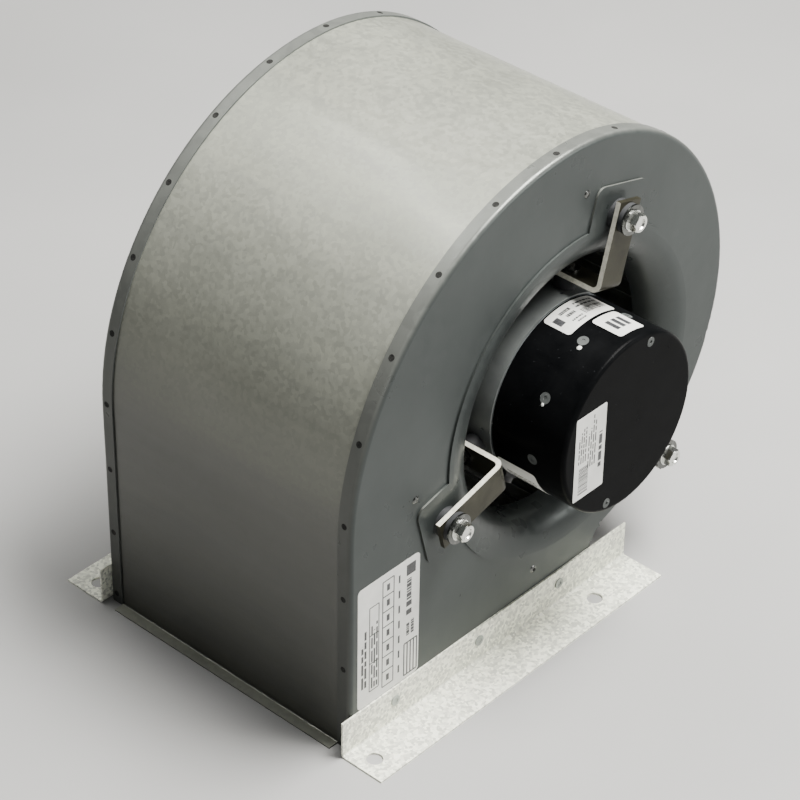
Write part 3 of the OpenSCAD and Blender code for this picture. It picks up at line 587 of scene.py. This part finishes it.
SLOT_MATERIALS = {
    "wrap_sheet": WRAP, "side_sheet": SIDE_PAINTED_SHADE, "foot_sheet": FOOT, "zinc": ZINC, "arm_steel": ARM,
    "band_sheet": BAND, "rubber": RUBBER, "shell_paint": SHELL, "black_paint": BLACK,
    "rivet_grey": RIVET, "cast_alloy": ALLOY, "bearing_steel": BEARING, "core_steel": CORE,
    "winding": COPPER, "board": BOARD, "capacitor": CAPACITOR, "black_plastic": NYLON,
    "shaft_steel": SHAFT, "magnet": MAGNET, "black_steel": BLACK_STEEL, "wheel_sheet": WHEEL,
}

# Nodes whose finish differs a little from the rest of their slot; the far side plate takes a lighter copy of
# the side sheet, as the near plate's copy carries painted shade
NODE_MATERIALS = {
    "far_side_plate": FAR_SIDE_UNSHADED, "foot_clinches": FOOT_CLINCH, "arm_front": ARM_FRONT, "arm_back": ARM_BACK,
    "arm_washers": WASHER, "band_washers": WASHER, "plate_rivets": WASHER,
}


def dress_nodes():
    """Gives every CAD node the material of its slot, or its own."""
    for entry in frame["record"]["subparts"]:
        name = entry["node"]
        slots = nodes[name].data.materials
        slots.clear()
        slots.append(NODE_MATERIALS.get(name, SLOT_MATERIALS[entry["material_slot"]]))


# ---------- rim clinches ----------

def rim_point(distance):
    """A point of the scroll's outline and the direction outwards, as (y, z) pairs.

    The distance runs up the flat front and then along the arcs over the top and down the back.
    """
    front = Vector((FRONT_Y + ARC_FRONT_R, TOP_Z - ARC_FRONT_R))
    top = Vector((front.x, TOP_Z - ARC_TOP_R))
    back = Vector((top.x + ARC_TOP_R - ARC_BACK_R, top.y))
    if distance < front.y:
        return Vector((FRONT_Y, distance)), Vector((-1, 0))
    distance -= front.y
    arcs = ((front, ARC_FRONT_R, 180), (top, ARC_TOP_R, 90), (back, ARC_BACK_R, 0))
    for centre, radius, start in arcs:
        turn = math.degrees(distance / radius)
        if turn <= 90 or centre is back:
            a = math.radians(start - turn)
            out = Vector((math.cos(a), math.sin(a)))
            return centre + radius * out, out
        distance -= radius * math.pi / 2


def rim_clinches(name, side, first, pitch, count):
    """Small punched pits with a raised burr, in a row along a rim: each pit is a low disc painted near-black
    as painted shade.
    """
    pit_r = 2.0 * MM
    across_rim = 0.35
    profile = [
        (1.3 * pit_r, -0.05 * MM), (1.2 * pit_r, 0.10 * MM), (1.1 * pit_r, 0.14 * MM),
        (0.95 * pit_r, 0.06 * MM), (0.6 * pit_r, 0.03 * MM), (0, 0.02 * MM),
    ]
    x = side * (PLATE_X - RIM_BEND_R - across_rim * (RIM_W - RIM_BEND_R))
    bm = bmesh.new()
    for k in range(count):
        point, out = rim_point(first + k * pitch)
        place = frame_at(Vector((x, point.x, point.y)), Vector((0, out.x, out.y)), Vector((1, 0, 0)))
        add_turned(bm, profile, place)
    new_piece(name, bm, PIT_SHADE)


# ---------- side plate dimples ----------

def plate_dimples():
    """Small round witness marks beside two of the arms."""
    profile = [
        (3.2 * MM, -0.1 * MM), (2.8 * MM, 0.5 * MM), (2.0 * MM, 0.9 * MM), (1.0 * MM, 1.05 * MM),
        (0, 1.1 * MM),
    ]
    reach, aside = 172 * MM, 42.5 * MM
    bm = bmesh.new()
    for angle, sign in ((TOP_ARM, 1), (FRONT_ARM, -1)):
        centre = polar(angle, reach, PLATE_X) + sign * aside * tangent(angle)
        add_turned(bm, profile, frame_at(centre, Vector((1, 0, 0)), Vector((0, 1, 0))), 20)
    new_piece("plate_dimples", bm, WASHER)


# ---------- fastener details ----------

def hexagon(angle, apothem, cap):
    """Radius of a hexagon with a corner at angle 0, cut off by a round cap."""
    return min(apothem / math.cos(angle % (math.pi / 3) - math.pi / 6), cap)


def add_hex_head(bm, matrix):
    """Adds a hexagon head with a round chamfer and a dished top, along a matrix's Z axis."""
    apothem, top, steps = 6.65 * MM, 8.0 * MM, 24
    shoulder = top - 1.1 * MM
    uncut = 2 * apothem
    outline = [
        (0.3 * MM, uncut), (shoulder, uncut), (top, 1.01 * apothem), (top, 0.66 * apothem),
        (shoulder, 0.58 * apothem),
    ]
    rings = []
    for height, cap in outline:
        radii = [hexagon(2 * math.pi * i / steps, apothem, cap) for i in range(steps)]
        rings.append(add_ring(bm, matrix, radii, height))
    join_rings(bm, rings)
    bm.faces.new(rings[0])
    bm.faces.new(rings[-1])


def arm_bolt_heads():
    """Flanged hexagon heads over the plain heads of the arm bolts."""
    flange = [(0, 0), (8.9 * MM, 0), (8.9 * MM, 0.7 * MM), (8.4 * MM, 1.1 * MM), (0, 1.2 * MM)]
    bm = bmesh.new()
    for angle in (TOP_ARM, FRONT_ARM, BACK_ARM):
        place = frame_at(polar(angle, ARM_BOLT_R, BOLT_SEAT), Vector((1, 0, 0)), tangent(angle))
        add_turned(bm, flange, place, 32)
        add_hex_head(bm, place)
    new_piece("arm_bolt_heads", bm, ZINC, smooth=False)


def rivet_centres():
    """The sunk centres of the blind rivets in the side plates, painted near-black as the painted shade of
    their holes.
    """
    profile = [
        (1.5 * MM, -0.4 * MM), (1.5 * MM, 0.10 * MM), (1.25 * MM, 0.16 * MM), (1.05 * MM, 0.02 * MM), (0, 0),
    ]
    middle = (RIVET_LOW + RIVET_HIGH) / 2
    bm = bmesh.new()
    for x, side in ((RIVET_HIGH.x, 1), (RIVET_LOW.x, -1)):
        centre = Vector((x, middle.y, middle.z))
        add_turned(bm, profile, frame_at(centre, Vector((side, 0, 0)), Vector((0, 1, 0))), 20)
    new_piece("rivet_centres", bm, PIT_SHADE)


# ---------- labels ----------

def label(name, place, u_range, v_range, corner, steps=(24, 8)):
    """A blank label with round corners."""
    bm = bmesh.new()
    add_patch(bm, place, u_range, v_range, corner, steps, FILM_T)
    new_piece(name, bm, FILM, smooth=False)


def print_bars(name, place, bars):
    """Printed bars on a label: each is (u0, u1, v0, v1)."""
    def on_film(u, v, h):
        return place(u, v, h + FILM_T + INK_LIFT)

    bm = bmesh.new()
    for u0, u1, v0, v1 in bars:
        add_patch(bm, on_film, (u0, u1), (v0, v1), 0.0, BAR_STEPS, INK_T)
    new_piece(name, bm, INK, smooth=False)


def line_bars(rng, u_range, v_range, rows, weight):
    """Rows of short bars along u, stacked along v, as plain stand-ins for printed lines."""
    (u0, u1), (v0, v1) = u_range, v_range
    span = u1 - u0
    shortest_row = 0.62 * span
    shortest_bar, longest_bar, gap = 0.06 * span, 0.2 * span, 0.03 * span
    pitch = (v1 - v0) / rows
    half = weight * pitch / 2
    bars = []
    for row in range(rows):
        v = v0 + (row + 0.5) * pitch
        u = u0
        end = u0 + rng.uniform(shortest_row, span)
        while u < end:
            length = rng.uniform(shortest_bar, longest_bar)
            bars.append((u, min(u + length, end), v - half, v + half))
            u += length + gap * rng.uniform(1, 1.35)
    return bars


def grid_bars(u_range, v_range, columns, rows, width):
    """The lines of a plain ruled table."""
    (u0, u1), (v0, v1) = u_range, v_range
    bars = []
    for i in range(columns + 1):
        u = u0 + (u1 - u0) * i / columns
        bars.append((u - width / 2, u + width / 2, v0, v1))
    for j in range(rows + 1):
        v = v0 + (v1 - v0) * j / rows
        bars.append((u0, u1, v - width / 2, v + width / 2))
    return bars


def swapped(bars):
    """The same bars with u and v exchanged."""
    return [(v0, v1, u0, u1) for u0, u1, v0, v1 in bars]


def upright_bars(rng, u_range, v_range, rows, weight):
    """Rows of short bars that run along v and are stacked along u."""
    return swapped(line_bars(rng, v_range, u_range, rows, weight))


def cell_bars(u_range, v_range, rows, width, length):
    """A short upright bar in each cell of a ruled column."""
    (u0, u1), (v0, v1) = u_range, v_range
    pitch = (v1 - v0) / rows
    left = (u0 + u1 - width) / 2
    bars = []
    for row in range(rows):
        low = v0 + (row + 0.5 - length / 2) * pitch
        bars.append((left, left + width, low, low + length * pitch))
    return bars


def code_bars(rng, u_range, v_range, count):
    """A block of thin bars of mixed width, stacked along u."""
    (u0, u1), (v0, v1) = u_range, v_range
    pitch = (u1 - u0) / count
    return [(u0 + k * pitch, u0 + (k + rng.uniform(0.25, 0.75)) * pitch, v0, v1) for k in range(count)]


def side_plate_label():
    """The rating label stands on end: its printed lines run up the plate."""
    rng = random.Random(11)
    width, height = 67 * MM, 115.5 * MM
    y0, z0 = FRONT_Y + 8 * MM, 34.5 * MM

    def part(a, b, c, d):
        """The field from share a to b of the label's width and from c to d of its height."""
        return (y0 + a * width, y0 + b * width), (z0 + c * height, z0 + d * height)

    label("side_label", on_plate, *part(0, 1, 0, 1), 4 * MM, (28, 10))
    column = part(0.40, 0.58, 0.06, 0.94)
    bars = grid_bars(*column, 1, 7, 1.0 * MM)
    bars += cell_bars(*column, 7, 3.2 * MM, 0.42)
    bars += cell_bars(*part(0.62, 0.72, 0.06, 0.94), 7, 1.8 * MM, 0.5)
    field = part(0.19, 0.34, 0.10, 0.80)
    bars += grid_bars(*field, 1, 3, 0.9 * MM)
    bars += upright_bars(rng, *part(0.21, 0.33, 0.12, 0.78), 3, 0.6)
    bars += upright_bars(rng, *part(0.05, 0.15, 0.16, 0.66), 2, 0.65)
    bars += upright_bars(rng, *part(0.78, 0.93, 0.36, 0.50), 2, 0.65)
    bars += cell_bars(*part(0.76, 0.90, 0.52, 0.66), 2, 6 * MM, 0.6)
    bars += upright_bars(rng, *part(0.76, 0.90, 0.66, 0.84), 1, 0.55)
    bars += cell_bars(*part(0.76, 0.96, 0.85, 0.96), 1, 10 * MM, 0.8)
    bars += grid_bars(*part(0.76, 0.97, 0.03, 0.30), 4, 1, 1.3 * MM)
    print_bars("side_label_print", on_plate, bars)


def arc_at(angle):
    """Arc length on the control housing's round side, up to an angle."""
    return math.radians(angle) * CAN_R


def can_labels():
    """Two labels over the top of the control housing and one under it."""
    rng = random.Random(23)

    def arcs(start, end):
        """The stretch between two angles."""
        return arc_at(start), arc_at(end)

    def from_rear(near, far):
        """The stretch between two distances in mm from the rear edge."""
        return CAN_REAR + near * MM, CAN_REAR + far * MM

    def from_face(far, near):
        """The stretch between two distances in mm from the flat face."""
        return CAN_FACE - far * MM, CAN_FACE - near * MM

    label("can_label_wide", on_can, arcs(66, 108), from_rear(1.5, 28), 3 * MM, (32, 8))
    bars = [(*arcs(101, 105.5), *from_rear(8, 17))]
    bars += line_bars(rng, arcs(90, 99), from_rear(5, 16), 2, 0.55)
    bars += line_bars(rng, arcs(89, 99), from_rear(18, 25), 2, 0.45)
    bars += line_bars(rng, arcs(69, 87), from_rear(4, 12), 2, 0.45)
    bars += code_bars(rng, arcs(69, 87), from_rear(14, 21), 18)
    print_bars("can_label_wide_print", on_can, bars)

    label("can_label_small", on_can, arcs(70, 92), from_face(39, 10), 3 * MM)
    block = 3.2
    bars = [(*arcs(start, start + block), *from_face(31, 18)) for start in (74.5, 79.4, 84.3)]
    print_bars("can_label_small_print", on_can, bars)

    label("can_label_under", on_can, arcs(201, 250), from_rear(1.5, 39), 3 * MM, (32, 8))
    bars = upright_bars(rng, arcs(212, 245), from_rear(6, 35), 9, 0.4)
    print_bars("can_label_under_print", on_can, bars)


def face_label():
    """The label on the flat end of the control housing."""
    rng = random.Random(31)
    u_range, v_range = (-62.5 * MM, -27.5 * MM), (-41.5 * MM, 35 * MM)
    label("face_label", on_face, u_range, v_range, 1.5 * MM)
    bars = upright_bars(rng, (-36 * MM, -30 * MM), (-22 * MM, 31 * MM), 1, 0.6)
    bars += upright_bars(rng, (-48 * MM, -38 * MM), (-16 * MM, 31 * MM), 4, 0.46)
    bars += upright_bars(rng, (-59 * MM, -49 * MM), (-8 * MM, 28 * MM), 4, 0.46)
    bars += swapped(code_bars(rng, (-37 * MM, -12 * MM), (-57 * MM, -46 * MM), 18))
    print_bars("face_label_print", on_face, bars)


def paint_dots():
    """Two dabs of white paint beside rivets of the control housing."""
    profile = [(2.0 * MM, -0.1 * MM), (1.8 * MM, 0.25 * MM), (1.1 * MM, 0.45 * MM), (0, 0.5 * MM)]
    bm = bmesh.new()
    for angle, x, size in ((112.0, CAN_FACE - 28.5 * MM, 1.0), (150.8, CAN_FACE - 30.5 * MM, 0.7)):
        place = frame_at(polar(angle, CAN_R, x), radial(angle), Vector((1, 0, 0)))
        add_turned(bm, profile, place @ Matrix.Scale(size, 4), 18)
    new_piece("paint_dots", bm, PAINT)


# ---------- stage ----------

def floor():
    """A plain pale floor."""
    n = Nodes("studio_floor")
    soft = n.noise(3, 3, 0.5)
    color = n.ramp(soft, (0.36, 0.358, 0.354), (0.40, 0.397, 0.392))
    material = n.finish(color, 0.85, n.bump(n.noise(500, 2, 0.5), 0.05, 0.0005))
    half_width = 4.0
    bm = bmesh.new()
    bmesh.ops.create_grid(bm, x_segments=8, y_segments=8, size=half_width)
    mesh = bpy.data.meshes.new("floor")
    bm.to_mesh(mesh)
    bm.free()
    mesh.materials.append(material)
    obj = bpy.data.objects.new("floor", mesh)
    bpy.context.scene.collection.objects.link(obj)


def area_light(name, place, target, size, power, color):
    """A soft rectangular light that faces a target."""
    data = bpy.data.lights.new(name, "AREA")
    data.shape = "RECTANGLE"
    data.size, data.size_y = size
    data.energy = power
    data.color = color
    obj = bpy.data.objects.new(name, data)
    bpy.context.scene.collection.objects.link(obj)
    obj.location = place
    obj.rotation_euler = (Vector(target) - Vector(place)).to_track_quat("-Z", "Y").to_euler()


def lights():
    """A dim sky, a large light overhead, two narrow strips that streak the wrapper, a key and a fill."""
    world = bpy.data.worlds.new("studio")
    world.use_nodes = True
    background = world.node_tree.nodes["Background"]
    background.inputs["Color"].default_value = (0.95, 0.97, 1.0, 1)
    background.inputs["Strength"].default_value = 0.11
    bpy.context.scene.world = world
    centre = (0, 0.08, 0.2)
    wrapper = (0, 0, 0.4)
    strip = (1.6, 0.04)
    area_light("overhead", (0.55, 0.65, 2.2), centre, (1.3, 0.9), 200, (1.0, 0.99, 0.95))
    area_light("strip_front", (-0.9, -0.35, 2.05), wrapper, strip, 9, (1.0, 1.0, 0.97))
    area_light("strip_back", (-0.9, 0.15, 2.15), wrapper, strip, 9, (1.0, 1.0, 0.97))
    area_light("right_key", (1.7, 1.1, 0.75), centre, (0.9, 0.6), 14, (1.0, 0.99, 0.96))
    area_light("front_fill", (1.5, -1.9, 1.0), centre, (0.6, 0.6), 2, (0.98, 0.99, 1.0))


def camera():
    """The camera stands in front, to the motor side and above, with a slight roll."""
    azimuth, elevation, roll = (math.radians(a) for a in (42.05, 36.03, 0.86))
    level = math.cos(elevation)
    back = Vector((math.sin(azimuth) * level, -math.cos(azimuth) * level, math.sin(elevation)))
    right = Vector((math.cos(azimuth), math.sin(azimuth), 0))
    up = back.cross(right)
    keep, turn = math.cos(roll), math.sin(roll)
    right, up = keep * right + turn * up, keep * up - turn * right
    matrix = Matrix((right, up, back)).transposed().to_4x4()
    matrix.translation = Vector((1.28436, -1.36324, 1.55286))
    data = bpy.data.cameras.new("camera")
    data.sensor_width = 36
    data.lens = 136.1
    data.clip_end = 20
    obj = bpy.data.objects.new("camera", data)
    obj.matrix_world = matrix
    bpy.context.scene.collection.objects.link(obj)
    bpy.context.scene.camera = obj


# ---------- build ----------

dress_nodes()
rim_clinches("rim_clinches_motor_side", side=1, first=10 * MM, pitch=67 * MM, count=17)
rim_clinches("rim_clinches_far_side", side=-1, first=9 * MM, pitch=62 * MM, count=18)
plate_dimples()
arm_bolt_heads()
rivet_centres()
side_plate_label()
can_labels()
face_label()
paint_dots()
floor()
lights()
camera()
